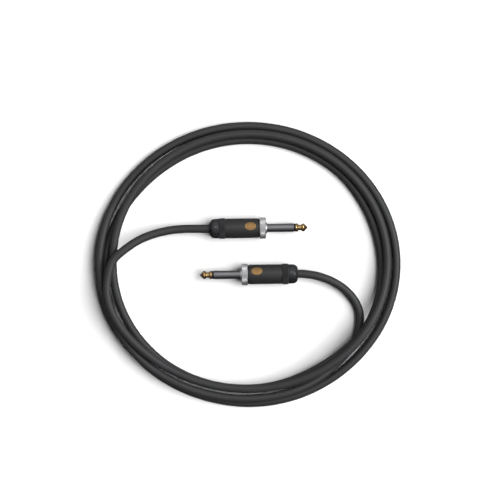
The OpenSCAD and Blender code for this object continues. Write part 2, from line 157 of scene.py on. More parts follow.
def colour(name, description, sheet):
    """A colour that can be set in the panel."""
    return FloatVectorProperty(
        name=name, description=description, default=linear(sheet), size=4, min=0, max=1,
        subtype="COLOR",
    )


class CableSizes(bpy.types.PropertyGroup):
    """Sizes of the cable"""

    diameter: length("Diameter", "Outside diameter of the cable", 6.3 * MM)
    ring_gap: length("Ring gap", "Distance between the rings of the cable's mesh", 3 * MM)
    sides: IntProperty(name="Sides", description="Sides of the cable's mesh", default=36, min=8)


class PlugSizes(bpy.types.PropertyGroup):
    """Sizes of the plugs' turned pieces"""

    shaft_radius: length("Shaft radius", "Radius of the shaft", 3.175 * MM)
    shaft_bore: length("Shaft bore", "Radius of the shaft's bore", 2.275 * MM)
    shoulder_radius: length("Shoulder radius", "Radius of the shaft inside the boss", 3.425 * MM)
    rod_radius: length("Rod radius", "Radius of the rod that carries the tip", 1.2 * MM)
    collar_radius: length("Collar radius", "Radius of the tip's collar", 3.1 * MM)
    waist_radius: length("Waist radius", "Radius of the tip's waist", 2.08 * MM)
    spigot_radius: length("Spigot radius", "Radius of the threads in the barrel", 6.15 * MM)
    edge: length("Edge", "Bevel on the knurled rings", 0.4 * MM)
    cap_rounding: length("Cap rounding", "Radius of the end cap's round back edge", 3.9 * MM)


class KnurlSizes(bpy.types.PropertyGroup):
    """Sizes of the diamond knurls and the nut's thread"""

    pitch: length("Pitch", "Distance between the knurl's diamonds", 1.2 * MM)
    depth: length("Depth", "Depth of the front ring's grooves", 0.2 * MM)
    nut_depth: length("Nut depth", "Depth of the rear nut's grooves", 0.3 * MM)
    flat: FloatProperty(
        name="Flat", description="Share of each diamond that is flat", default=0.45, min=0.05,
        max=0.9, subtype="FACTOR",
    )
    thread_pitch: length("Thread pitch", "Pitch of the rear nut's thread", 1 * MM)
    thread_depth: length("Thread depth", "Depth of the rear nut's thread", 0.4 * MM)


class Finishes(bpy.types.PropertyGroup):
    """Colours of the surfaces"""

    jacket: colour("Jacket", "Cable jacket", "262627")
    anodised: colour("Anodised black", "Barrel", "272727")
    knurled: colour("Knurled black", "Rear nut", "333335")
    lacquer: colour("Black lacquer", "End cap", "1d1e20")
    bright_nickel: colour("Bright nickel", "Front ring", "f4f4f6")
    satin_nickel: colour("Satin nickel", "Shaft", "88888b")
    gold: colour("Gold", "Tip", "cba774")
    mark: colour("Mark", "Gold mark on the barrel", "b48c56")
    nylon: colour("Black nylon", "Insulating ring", "0f0f10")


class StageSettings(bpy.types.PropertyGroup):
    """The camera, the lights and the floor"""

    camera_height: length("Camera height", "Height of the camera above the floor", 1.604)
    key_strength: FloatProperty(
        name="Key strength", description="Strength of the light from the right", default=5.6, min=0,
    )
    key_spread: FloatProperty(
        name="Key spread", description="Angle that the light from the right fills",
        default=math.radians(60), min=0, subtype="ANGLE",
    )
    glint_power: FloatProperty(
        name="Glint power", description="Power of the small light that the gloss reflects",
        default=4.5, subtype="POWER",
    )
    top_power: FloatProperty(
        name="Top power", description="Power of the softbox overhead", default=0.7, subtype="POWER",
    )
    sky: FloatProperty(
        name="Sky", description="Brightness of the surroundings at their brightest", default=0.75,
        min=0,
    )
    dusk: FloatProperty(
        name="Dusk", description="Brightness of the surroundings in front", default=0.05, min=0,
    )
    floor: colour("Floor", "Colour of the floor", "f2f2f2")


# Materials

# Places of the sockets of a mix node that mixes colours
MIX_SHARE, MIX_LOW, MIX_HIGH, MIX_RESULT = 0, 6, 7, 2


def add(tree, kind, inputs=None, **settings):
    """Adds a node with its settings, and links or fills its inputs."""
    node = tree.nodes.new(kind)
    for name, value in settings.items():
        setattr(node, name, value)
    for key, value in (inputs or {}).items():
        if isinstance(value, bpy.types.NodeSocket):
            tree.links.new(value, node.inputs[key])
        else:
            node.inputs[key].default_value = value
    return node


def new_material(name, values):
    """A material and its shader, with the values that are the same all over it."""
    material = bpy.data.materials.new(name)
    material.use_nodes = True
    shader = material.node_tree.nodes["Principled BSDF"]
    for socket, value in values.items():
        shader.inputs[socket].default_value = value
    return material, material.node_tree, shader


def between(tree, share, low, high):
    """Socket that runs from one colour or number to another as a share goes from 0 to 1."""
    if isinstance(low, float):
        return add(
            tree, "ShaderNodeMapRange", {"Value": share, "To Min": low, "To Max": high}
        ).outputs["Result"]
    sockets = {MIX_SHARE: share, MIX_LOW: low, MIX_HIGH: high}
    return add(tree, "ShaderNodeMix", sockets, data_type="RGBA").outputs[MIX_RESULT]


def shade(rgba, factor):
    """A lighter or darker version of a linear colour."""
    return [min(1, part * factor) for part in rgba[:3]] + [1]


def place_noise(tree, scale, stretch=(1, 1, 1), attribute=None, detail=3):
    """Noise with grains of a size in metres, in the object's own space or an attribute's."""
    if attribute:
        place = add(tree, "ShaderNodeAttribute", attribute_name=attribute).outputs["Vector"]
    else:
        place = add(tree, "ShaderNodeTexCoord").outputs["Object"]
    mapping = add(tree, "ShaderNodeMapping", {"Vector": place, "Scale": stretch})
    noise = add(
        tree, "ShaderNodeTexNoise",
        {"Vector": mapping.outputs["Vector"], "Scale": 1 / scale, "Detail": detail},
    )
    return noise.outputs["Fac"]


def groove_share(tree):
    """Socket that is 1 at the bottom of a groove and 0 on the surface. The materials paint shade
    into the grooves with it.
    """
    return add(tree, "ShaderNodeAttribute", attribute_name="groove").outputs["Fac"]


def bump(tree, shader, height, distance, strength=1.0):
    """Gives a shader a bump whose full height is a distance in metres."""
    node = add(
        tree, "ShaderNodeBump", {"Height": height, "Distance": distance, "Strength": strength}
    )
    tree.links.new(node.outputs["Normal"], shader.inputs["Normal"])


def pvc_jacket(rgba):
    """Flexible PVC, extruded: satin, with faint lines along the cable and a slight mottle."""
    material, tree, shader = new_material(
        "extruded_pvc", {"IOR": 1.53, "Specular IOR Level": 0.5}
    )
    lines = place_noise(tree, 0.5 * MM, (1, 1, 0.01), "laid_straight")
    mottle = place_noise(tree, 9 * MM, (1, 1, 0.5), "laid_straight")
    base = between(tree, mottle, shade(rgba, 0.86), shade(rgba, 1.16))
    tree.links.new(base, shader.inputs["Base Color"])
    tree.links.new(between(tree, lines, 0.5, 0.62), shader.inputs["Roughness"])
    bump(tree, shader, lines, 0.02 * MM, 0.5)
    return material


def anodised_aluminium(name, rgba, low, high):
    """Black anodised aluminium, blasted before dyeing: matt, with a soft wide sheen."""
    material, tree, shader = new_material(name, {"Metallic": 0.15})
    # The blasted grain is about 0.05 mm; it is drawn at 0.2 mm so that it shows.
    grain = place_noise(tree, 0.2 * MM)
    cloud = place_noise(tree, 6 * MM)
    base = between(tree, cloud, shade(rgba, 0.9), shade(rgba, 1.1))
    # The bottoms of grooves, and the barrel's recess, are painted darker: painted shade.
    shaded = between(tree, groove_share(tree), base, shade(rgba, 0.35))
    tree.links.new(shaded, shader.inputs["Base Color"])
    tree.links.new(between(tree, grain, low, high), shader.inputs["Roughness"])
    bump(tree, shader, grain, 0.006 * MM, 0.6)
    return material


def black_lacquer(rgba):
    """Black lacquer, polished: a sharp gloss that waves a little where the coat is thicker."""
    material, tree, shader = new_material(
        "polished_black_lacquer",
        {"IOR": 1.45, "Specular IOR Level": 0.4, "Coat Weight": 0.6, "Coat Roughness": 0.06},
    )
    waves = place_noise(tree, 2.2 * MM, detail=1)
    smear = place_noise(tree, 1.2 * MM)
    tree.links.new(
        between(tree, smear, shade(rgba, 0.85), shade(rgba, 1.15)), shader.inputs["Base Color"]
    )
    tree.links.new(between(tree, smear, 0.2, 0.32), shader.inputs["Roughness"])
    bump(tree, shader, waves, 0.12 * MM, 0.6)
    return material


def nickel_plate(name, rgba, low, high, scratch):
    """Nickel plate on turned brass: grey-white, with fine rings left by the lathe."""
    material, tree, shader = new_material(name, {"Metallic": 1.0})
    # Real turning marks are about 0.05 mm apart; they are drawn at 0.15 mm so that they show.
    rings = place_noise(tree, 0.15 * MM, (1, 0.02, 0.02))
    cloud = place_noise(tree, 4 * MM)
    base = between(tree, cloud, shade(rgba, 0.94), shade(rgba, 1.06))
    # The bottoms of the knurl's grooves are painted much darker: painted shade.
    deep = add(
        tree, "ShaderNodeMapRange", {"Value": groove_share(tree), "From Min": 0.4}
    ).outputs["Result"]
    groove_shade_painted = between(tree, deep, base, shade(rgba, 0.12))
    tree.links.new(groove_shade_painted, shader.inputs["Base Color"])
    tree.links.new(between(tree, rings, low, high), shader.inputs["Roughness"])
    bump(tree, shader, rings, scratch, 0.5)
    return material


def gold_plate(rgba):
    """Gold plate on turned brass: warm yellow and bright, with faint lathe rings."""
    material, tree, shader = new_material("gold_plated_brass", {"Metallic": 1.0})
    rings = place_noise(tree, 0.12 * MM, (1, 0.02, 0.02))
    cloud = place_noise(tree, 1.5 * MM)
    base = between(tree, cloud, shade(rgba, 0.88), shade(rgba, 1.06))
    tree.links.new(base, shader.inputs["Base Color"])
    tree.links.new(between(tree, rings, 0.13, 0.22), shader.inputs["Roughness"])
    bump(tree, shader, rings, 0.008 * MM, 0.5)
    return material


def gold_foil(rgba):
    """Hot-stamped gold foil: a thin metallic print that follows the barrel's matt grain."""
    material, tree, shader = new_material("stamped_gold_foil", {"Metallic": 0.75})
    grain = place_noise(tree, 0.25 * MM)
    base = between(tree, grain, shade(rgba, 0.7), shade(rgba, 1.15))
    tree.links.new(base, shader.inputs["Base Color"])
    tree.links.new(between(tree, grain, 0.38, 0.55), shader.inputs["Roughness"])
    return material


def moulded(name, rgba, low, high, grain=0.3 * MM):
    """Moulded or extruded plastic: the mould's fine grain, and a slight unevenness of colour."""
    material, tree, shader = new_material(name, {"IOR": 1.5})
    fine = place_noise(tree, grain)
    cloud = place_noise(tree, 3 * MM)
    base = between(tree, cloud, shade(rgba, 0.9), shade(rgba, 1.08))
    tree.links.new(base, shader.inputs["Base Color"])
    tree.links.new(between(tree, fine, low, high), shader.inputs["Roughness"])
    bump(tree, shader, fine, 0.01 * MM, 0.5)
    return material


def tinned(name, rgba, low, high):
    """Tin on brass, or tin solder: soft grey metal, smooth but uneven."""
    material, tree, shader = new_material(name, {"Metallic": 1.0})
    uneven = place_noise(tree, 0.8 * MM)
    base = between(tree, uneven, shade(rgba, 0.85), shade(rgba, 1.08))
    tree.links.new(base, shader.inputs["Base Color"])
    tree.links.new(between(tree, uneven, low, high), shader.inputs["Roughness"])
    bump(tree, shader, uneven, 0.04 * MM, 0.5)
    return material


def copper_strands(rgba):
    """Bare copper strands, 0.1 mm each: fine bright lines across each other, with painted shade in
    the gaps between them.
    """
    material, tree, shader = new_material("bare_copper_strands", {"Metallic": 1.0})
    place = add(tree, "ShaderNodeTexCoord").outputs["Object"]
    strands = []
    for lean in (35, -35):
        turned_place = add(
            tree, "ShaderNodeMapping", {"Vector": place, "Rotation": (0, math.radians(lean), 0)}
        )
        # Strands are 0.1 mm apart; they are drawn at 0.3 mm so that they show.
        strands.append(add(
            tree, "ShaderNodeTexWave",
            {"Vector": turned_place.outputs["Vector"], "Scale": 1 / (0.3 * MM * 2 * math.pi)},
        ).outputs["Fac"])
    weave = add(tree, "ShaderNodeMath", {0: strands[0], 1: strands[1]}, operation="MAXIMUM")
    # The gaps between the strands are painted darker: painted shade.
    base = between(tree, weave.outputs["Value"], shade(rgba, 0.35), rgba)
    tree.links.new(base, shader.inputs["Base Color"])
    shader.inputs["Roughness"].default_value = 0.35
    bump(tree, shader, weave.outputs["Value"], 0.08 * MM)
    return material


def white_sweep(rgba):
    """Matt white paper sweep: no sheen, and a grain that is only just there."""
    material, tree, shader = new_material("white_paper_sweep", {"Specular IOR Level": 0.0})
    grain = place_noise(tree, 30 * MM)
    tree.links.new(
        between(tree, grain, shade(rgba, 0.99), shade(rgba, 1.01)), shader.inputs["Base Color"]
    )
    tree.links.new(between(tree, grain, 0.9, 1.0), shader.inputs["Roughness"])
    return material


# Meshes


def new_piece(name, vertices, faces, material, side=None, floats=None, vectors=None):
    """An object made of vertices and faces, in a plug's frame or the common one."""
    mesh = bpy.data.meshes.new(name)
    mesh.from_pydata(vertices, [], faces)
    for key, values in (floats or {}).items():
        mesh.attributes.new(key, "FLOAT", "POINT").data.foreach_set("value", values)
    for key, values in (vectors or {}).items():
        flat = [number for vector in values for number in vector]
        mesh.attributes.new(key, "FLOAT_VECTOR", "POINT").data.foreach_set("vector", flat)
    work = bmesh.new()
    work.from_mesh(mesh)
    bmesh.ops.recalc_face_normals(work, faces=work.faces)
    work.to_mesh(mesh)
    work.free()
    mesh.polygons.foreach_set("use_smooth", [True] * len(mesh.polygons))
    mesh.set_sharp_from_angle(angle=SHARP_ANGLE)
    mesh.materials.append(material)
    piece = bpy.data.objects.new(name, mesh)
    bpy.context.scene.collection.objects.link(piece)
    if side:
        piece.matrix_world = PLUG_FRAMES[side]
    return piece


def rounded(outline, steps=5):
    """Places and radii of an outline whose corners are (place, radius, rounding)."""
    smooth = []
    for i, (x, r, rounding) in enumerate(outline):
        corner = Vector((x, r))
        before = Vector(outline[i - 1][:2]) - corner
        after = Vector(outline[(i + 1) % len(outline)][:2]) - corner
        if not rounding:
            smooth.append(corner)
            continue
        reach = rounding * math.tan((math.pi - before.angle(after)) / 2)
        start = corner + before.normalized() * min(reach, before.length * 0.49)
        end = corner + after.normalized() * min(reach, after.length * 0.49)
        for k in range(steps + 1):
            t = k / steps
            smooth.append((1 - t) ** 2 * start + 2 * t * (1 - t) * corner + t * t * end)
    return [tuple(point) for point in smooth]


def even_angles(count):
    """Angles that share out a full turn."""
    return [2 * math.pi * k / count for k in range(count)]


def knurl_steps(count, flat):
    """Places of a knurl's edge in half diamonds: for each diamond the two ends and the middle of
    its flat, then the groove beside it."""
    return [i + step for i in range(1, 2 * count, 2) for step in (-flat, 0, flat, 1)]


def knurl_angles(count, flat):
    """Angles of a knurl's edge."""
    half = math.pi / count
    return [half * step for step in knurl_steps(count, flat)]


class Turning:
    """The mesh of a piece turned about the X axis, built ring by ring."""

    def __init__(self, angles):
        self.angles = angles
        self.vertices, self.faces, self.groove = [], [], []

    def corner(self, x, radius, angle, groove=0.0):
        """Adds one corner and returns its number."""
        self.vertices.append((x, radius * math.sin(angle), radius * math.cos(angle)))
        self.groove.append(groove)
        return len(self.vertices) - 1

    def ring(self, x, radius, cuts=None, groove=0.0):
        """A ring of corners. Cuts are the depths by which its corners lie lower, and groove says
        how far a ring without cuts counts as the bottom of a groove."""
        if radius < POINT_RADIUS:
            return [self.corner(x, 0, 0)] * len(self.angles)
        if not cuts:
            return [self.corner(x, radius, angle, groove) for angle in self.angles]
        deepest = max(cuts) or 1
        return [
            self.corner(x, radius - cut, angle, cut / deepest)
            for angle, cut in zip(self.angles, cuts)
        ]

    def join(self, one, other):
        """Faces between two rings, in threes where one of them is a point."""
        for k in range(len(one)):
            n = (k + 1) % len(one)
            face = list(dict.fromkeys([one[k], one[n], other[n], other[k]]))
            if len(face) > 2:
                self.faces.append(face)

    def knurl(self, back, front, radius, sizes, count, cut):
        """A band of diamonds with grooves of a depth. Returns its two edges."""
        rows = max(2, round((front - back) / sizes.pitch))
        flat = sizes.flat
        edge_cuts = [0.0, 0.0, 0.0, cut] * count
        edges = [self.ring(x, radius, edge_cuts) for x in (back, front)]
        steps = knurl_steps(count, flat)
        known = {}
        for j, edge in zip((0, 2 * rows), edges):
            for step, vertex in zip(steps, edge):
                known[round(step % (2 * count), 3), j] = vertex

        def at(i, j):
            """The corner at a place in half diamonds, round the piece and along it."""
            key = round(i % (2 * count), 3), round(j, 3)
            if key not in known:
                # Whole places with an even sum lie where two grooves cross.
                low = i == int(i) and j == int(j) and (i + j) % 2 == 0
                x = back + (front - back) * j / (2 * rows)
                known[key] = self.corner(x, radius - cut * low, math.pi * i / count, float(low))
            return known[key]

        for j in range(2 * rows + 1):
            for i in range((j + 1) % 2, 2 * count, 2):
                for ahead in (-1, 1):
                    if not 0 <= j + ahead <= 2 * rows:
                        continue
                    for aside in (-1, 1):
                        over, beside = at(i, j + flat * ahead), at(i + flat * aside, j)
                        self.faces.append([at(i, j), over, beside])
                        self.faces.append([over, at(i, j + ahead), at(i + aside, j), beside])
        return edges

    def thread(self, back, front, radius, sizes):
        """A helical thread that runs out at both ends. Returns its two end rings."""
        rows_per_turn, fading_rows = 8, 6
        flank_slope, crest = 3.2, 0.3
        rows = round((front - back) / sizes.thread_pitch * rows_per_turn)
        rings = []
        for row in range(rows + 1):
            x = back + (front - back) * row / rows
            fade = min(1, row / fading_rows, (rows - row) / fading_rows)
            cuts = []
            for angle in self.angles:
                turn = (x / sizes.thread_pitch - angle / (2 * math.pi)) % 1
                wave = min(1, max(0, abs(turn - 0.5) * flank_slope - crest))
                cuts.append(sizes.thread_depth * fade * wave)
            rings.append(self.ring(x, radius, cuts))
        for one, other in zip(rings, rings[1:]):
            self.join(one, other)
        return rings[0], rings[-1]

    def run(self, outline, recess=(0, 0)):
        """Rings along an outline, joined. Between the recess's two places they are marked as a
        groove's bottom, so that painted shade darkens them. Returns the first and last ring."""
        rings = [
            self.ring(x, radius, groove=float(recess[0] < x < recess[1])) for x, radius in outline
        ]
        for one, other in zip(rings, rings[1:]):
            self.join(one, other)
        return rings[0], rings[-1]

    def piece(self, name, side, material):
        """The finished object."""
        return new_piece(
            name, self.vertices, self.faces, material, side, floats={"groove": self.groove}
        )


def turned_piece(name, side, outline, material, recess=(0, 0), segments=96):
    """A plain turned piece. Its outline is a loop, or starts and ends on the axis."""
    turning = Turning(even_angles(segments))
    first, last = turning.run(rounded(outline), recess)
    if outline[0][1] > 0:
        turning.join(last, first)
    return turning.piece(name, side, material)


def settle(piece, side, body, node):
    """Puts a piece on its body, in place of its CAD node, which it hides."""
    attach(piece, body)
    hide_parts(f"{node}_{side}")


def along(start, end, share):
    """The value or place that lies a share of the way from one to another."""
    return start + (end - start) * share


def station_value(angle, column):
    """A station value at any angle, in diameters, averaged over 15 degrees."""
    offsets = (-7.5, -3.75, 0, 3.75, 7.5)
    total = 0
    for offset in offsets:
        place = min(max(angle + offset, STATIONS[0][0]), STATIONS[-1][0])
        for before, after in zip(STATIONS, STATIONS[1:]):
            if before[0] <= place <= after[0]:
                share = (place - before[0]) / (after[0] - before[0])
                total += along(before[column], after[column], share)
                break
    return total / len(offsets)


def in_coil(angle, depth, height, diameter):
    """A place at an angle of the coil, at a depth inside its outline and a height in diameters."""
    turn = math.radians(angle)
    width, reach = COIL_SIZE
    inward = Vector((math.cos(turn) / width, math.sin(turn) / reach)).normalized()
    flat = COIL_CENTRE + Vector((width / 2 * math.cos(turn), reach / 2 * math.sin(turn)))
    flat -= inward * depth * diameter
    return Vector((flat.x, flat.y, height * diameter))


def route(diameter):
    """The points that the cable passes, from inside plug a, round the coil, to inside plug b."""

    def coil_point(angle):
        return in_coil(angle, station_value(angle, 1), station_value(angle, 2), diameter)

    def raised(points):
        return [Vector((x, y, height * diameter)) for x, y, height in points]

    coil = [coil_point(COIL_START + k) for k in range(0, COIL_END - COIL_START + 1, COIL_STEP)]
    start_dir = (coil_point(COIL_START + 2) - coil[0]).normalized() * diameter
    end_dir = coil[-1] - coil_point(COIL_END - 2)
    end_dir.z = 0
    end_dir = end_dir.normalized() * diameter
    inside = {
        side: [PLUG_FRAMES[side] @ Vector((x, 0, 0)) for x in AXIS_PLACES] for side in SIDES
    }
    return [
        *inside["a"], *raised(TAIL_A_POINTS), coil[0] - 2 * start_dir, coil[0] - start_dir,
        *coil, coil[-1] + end_dir, coil[-1] + 2 * end_dir,
        *[in_coil(*station, diameter) for station in TAIL_B_STATIONS],
        *raised(TAIL_B_POINTS), *reversed(inside["b"]),
    ]


def smooth_line(points, gap, radius):
    """One smooth line through the points, with its own points about a gap apart."""
    steps = [(after - before).length for before, after in zip(points, points[1:])]
    slopes = [(points[1] - points[0]) / steps[0]]
    for i in range(1, len(points) - 1):
        back = (points[i] - points[i - 1]) / steps[i - 1]
        ahead = (points[i + 1] - points[i]) / steps[i]
        slopes.append(along(back, ahead, steps[i - 1] / (steps[i - 1] + steps[i])))
    slopes.append((points[-1] - points[-2]) / steps[-1])
    line = [points[0]]
    for i, step in enumerate(steps):
        count = max(1, round(step / gap))
        for k in range(1, count + 1):
            t = k / count
            line.append(
                (2 * t ** 3 - 3 * t ** 2 + 1) * points[i]
                + (3 * t ** 2 - 2 * t ** 3) * points[i + 1]
                + (t ** 3 - 2 * t ** 2 + t) * step * slopes[i]
                + (t ** 3 - t ** 2) * step * slopes[i + 1]
            )
    # The line is eased between the plugs, and stays straight inside them.
    held = round((AXIS_PLACES[0] - AXIS_PLACES[-1]) / gap)
    for _ in range(EASING_PASSES):
        eased = [
            (line[i - 1] + 2 * line[i] + line[i + 1]) / 4 for i in range(held, len(line) - held)
        ]
        line[held:len(line) - held] = eased
    for point in line:
        point.z = max(point.z, radius)
    return line


def cord_mesh(name, line, radius, sides, material):
    """A closed round tube along a line, with the place of each corner as if it lay straight."""
    ends = [*line[:1], *line, *line[-1:]]
    vertices, straight, travelled = [], [], 0
    across = UP.cross(line[1] - line[0]).normalized()
    for i, centre in enumerate(line):
        ahead = (ends[i + 2] - ends[i]).normalized()
        across = (across - ahead * across.dot(ahead)).normalized()
        up = ahead.cross(across)
        travelled += (line[i] - line[max(i - 1, 0)]).length
        for turn in even_angles(sides):
            vertices.append(centre + radius * (across * math.cos(turn) + up * math.sin(turn)))
            straight.append((radius * math.cos(turn), radius * math.sin(turn), travelled))
    last = (len(line) - 1) * sides
    faces = [
        [ring + k, ring + (k + 1) % sides, ring + sides + (k + 1) % sides, ring + sides + k]
        for ring in range(0, last, sides) for k in range(sides)
    ]
    faces += [list(range(sides)), list(range(last, last + sides))]
    return new_piece(name, vertices, faces, material, vectors={"laid_straight": straight})


# Operators


class STAGE_OT_build(bpy.types.Operator):
    """Sets up the camera above the cable, the lights and the white floor"""

    bl_idname = "instrument_cable.stage"
    bl_label = "Stage"

    def execute(self, context):
        scene, stage = context.scene, context.scene.cable_stage
        # The camera looks straight down, through a long lens.
        camera = bpy.data.objects.new("camera", bpy.data.cameras.new("camera"))
        camera.data.lens, camera.data.sensor_width = 150, 36
        camera.location = (-2.88 * MM, 0.96 * MM, stage.camera_height)
        scene.collection.objects.link(camera)
        scene.camera = camera
        scene.view_settings.view_transform = "Standard"

        # The key fills a wide disc of the sky to the right and lights the matt surfaces. It leaves
        # no highlights of its own: the glint beside it and the softbox overhead give those.
        key = bpy.data.lights.new("key", "SUN")
        key.energy, key.angle = stage.key_strength, stage.key_spread
        glint, top = (bpy.data.lights.new(name, "AREA") for name in ("glint", "top"))
        glint.shape, glint.size, glint.energy = "DISK", 0.1, stage.glint_power
        top.size, top.energy = 0.38, stage.top_power
        for lamp, place in (
            (key, (0.66, 0.0, 0.8)), (glint, (0.75, 0.08, 0.8)), (top, (0.0, 0.4, 1.05)),
        ):
            light = bpy.data.objects.new(lamp.name, lamp)
            light.location = place
            light.rotation_euler = (-Vector(place)).to_track_quat("-Z", "Y").to_euler()
            light.visible_glossy = lamp is not key
            light.visible_diffuse = lamp is not glint
            scene.collection.objects.link(light)

        # The surroundings are brightest overhead and behind, and darker in front. They only show
        # as reflections, so the shadows stay as deep as the key leaves them.
        world = bpy.data.worlds.new("studio_surroundings")
        world.use_nodes = True
        tree = world.node_tree
        brightest = (0, 0.64, 0.77)
        place = add(tree, "ShaderNodeTexCoord").outputs["Generated"]
        facing = add(
            tree, "ShaderNodeVectorMath", {0: place, 1: brightest}, operation="DOT_PRODUCT"
        )
        glow = add(
            tree, "ShaderNodeMapRange",
            {"Value": facing.outputs["Value"], "From Min": -0.3, "To Min": stage.dusk,
             "To Max": stage.sky},
        )
        tree.links.new(glow.outputs["Result"], tree.nodes["Background"].inputs["Strength"])
        tree.nodes["Background"].inputs["Color"].default_value = (1, 1, 1, 1)
        scene.world = world
        world.cycles_visibility.diffuse = False

        half, drop = 3.0, 0.05 * MM
        corners = [(-half, -half, 0), (half, -half, 0), (half, half, 0), (-half, half, 0)]
        floor = new_piece("floor", corners, [[0, 1, 2, 3]], white_sweep(stage.floor))
        floor.location.z = -drop
        # The surroundings are dark below the horizon, and the gloss reflects them, not the floor.
        floor.visible_glossy = False
        return {"FINISHED"}


class SHAFT_OT_build(bpy.types.Operator):
    """Builds each plug's nickel shaft, insulating ring and gold tip"""

    bl_idname = "instrument_cable.shafts"
    bl_label = "Shafts and tips"

    def execute(self, context):
        plug, finishes = context.scene.cable_plugs, context.scene.cable_finishes
        nickel = nickel_plate(
            "satin_nickel_plate", finishes.satin_nickel, 0.3, 0.42, 0.006 * MM
        )
        gold, nylon = gold_plate(finishes.gold), moulded("black_nylon", finishes.nylon, 0.4, 0.55)
        fine = 0.1 * MM
        # A hairline groove is turned near the shaft's front end.
        line_place, line_half, line_depth = SHAFT_FRONT - 1.5 * MM, 0.09 * MM, 0.05 * MM
        shaft_outline = [
            (SHAFT_BACK, plug.shaft_bore, 0), (SHAFT_BACK, FLANGE_R, fine),
            (FLANGE_FRONT, FLANGE_R, fine), (FLANGE_FRONT, plug.shoulder_radius, 0),
            (RING_FRONT, plug.shoulder_radius, fine), (RING_FRONT, plug.shaft_radius, 0),
            (line_place - line_half, plug.shaft_radius, 0),
            (line_place, plug.shaft_radius - line_depth, 0),
            (line_place + line_half, plug.shaft_radius, 0),
            (SHAFT_FRONT, plug.shaft_radius, fine), (SHAFT_FRONT, plug.shaft_bore, 0),
        ]
        bush_r = plug.shaft_bore - FIT_GAP
        bush_bore = plug.rod_radius + FIT_GAP
        insulator_outline = [
            (BUSH_BACK, bush_bore, 0), (BUSH_BACK, bush_r, fine), (SHAFT_FRONT, bush_r, 0),
            (SHAFT_FRONT, INSULATOR_R, fine), (INSULATOR_FRONT, INSULATOR_R, fine),
            (INSULATOR_FRONT, bush_bore, 0),
        ]
        # The rod's back end is flared. The tip's collar is followed by its waist and its ball.
        flare_front, flare_r = TIP_BACK + 1 * MM, 1.8 * MM
        collar_front = INSULATOR_FRONT + 1.15 * MM
        waist = (INSULATOR_FRONT + 2.4 * MM, INSULATOR_FRONT + 4.1 * MM)
        ball_x, nose_r = TIP_FRONT - 3.05 * MM, 0.8 * MM
        tip_outline = [
            (TIP_BACK, 0, 0), (TIP_BACK, flare_r, 0.3 * MM), (flare_front, flare_r, 0),
            (flare_front, plug.rod_radius, 0), (INSULATOR_FRONT, plug.rod_radius, 0),
            (INSULATOR_FRONT, plug.collar_radius, fine),
            (collar_front, plug.collar_radius, 0.4 * MM),
            (waist[0], plug.waist_radius, 1.3 * MM), (waist[1], plug.waist_radius, 1.3 * MM),
            (ball_x - 0.4 * MM, BALL_R, 0.8 * MM), (ball_x + 0.4 * MM, BALL_R, 0.8 * MM),
            (TIP_FRONT - 0.3 * MM, nose_r, 0.6 * MM), (TIP_FRONT, nose_r * 0.5, 0.3 * MM),
            (TIP_FRONT, 0, 0),
        ]
        for side in SIDES:
            shaft = turned_piece(f"shaft_{side}", side, shaft_outline, nickel)
            settle(shaft, side, "cable", "plug_sleeve")
            ring = turned_piece(f"insulating_ring_{side}", side, insulator_outline, nylon)
            settle(ring, side, "cable", "tip_insulator")
            tip = turned_piece(f"tip_{side}", side, tip_outline, gold)
            settle(tip, side, "cable", "tip_contact")
        return {"FINISHED"}


class FRONT_RING_OT_build(bpy.types.Operator):
    """Builds each plug's knurled front ring"""

    bl_idname = "instrument_cable.front_rings"
    bl_label = "Front rings"

    def execute(self, context):
        plug, knurl = context.scene.cable_plugs, context.scene.cable_knurl
        bright_nickel = context.scene.cable_finishes.bright_nickel
        nickel = nickel_plate("bright_nickel_plate", bright_nickel, 0.36, 0.48, 0.01 * MM)
        count = round(2 * math.pi * RING_R / knurl.pitch)
        seat, flange_bore = plug.shoulder_radius + FIT_GAP, FLANGE_R + FIT_GAP
        # The boss round the shaft narrows from its root to its front.
        root_wall, front_wall = 0.65 * MM, 0.2 * MM
        boss = [
            (0, RING_R - plug.edge, 0), (0, seat + root_wall, 0.15 * MM),
            (RING_FRONT, seat + front_wall, 0.1 * MM), (RING_FRONT, seat, 0),
        ]
        for side in SIDES:
            turning = Turning(knurl_angles(count, knurl.flat))
            back_edge, front_edge = turning.knurl(
                BARREL_FRONT + plug.edge, -plug.edge, RING_R, knurl, count, knurl.depth
            )
            first, last = turning.run(rounded([
                *boss, (FLANGE_FRONT, seat, 0), (FLANGE_FRONT, flange_bore, 0),
                (RING_BACK, flange_bore, 0), (RING_BACK, plug.spigot_radius, 0.3 * MM),
                (BARREL_FRONT, plug.spigot_radius, 0), (BARREL_FRONT, RING_R - plug.edge, 0),
            ]))
            turning.join(front_edge, first)
            turning.join(last, back_edge)
            ring = turning.piece(f"front_ring_knurled_{side}", side, nickel)
            settle(ring, side, "cable", "front_ring")
        return {"FINISHED"}


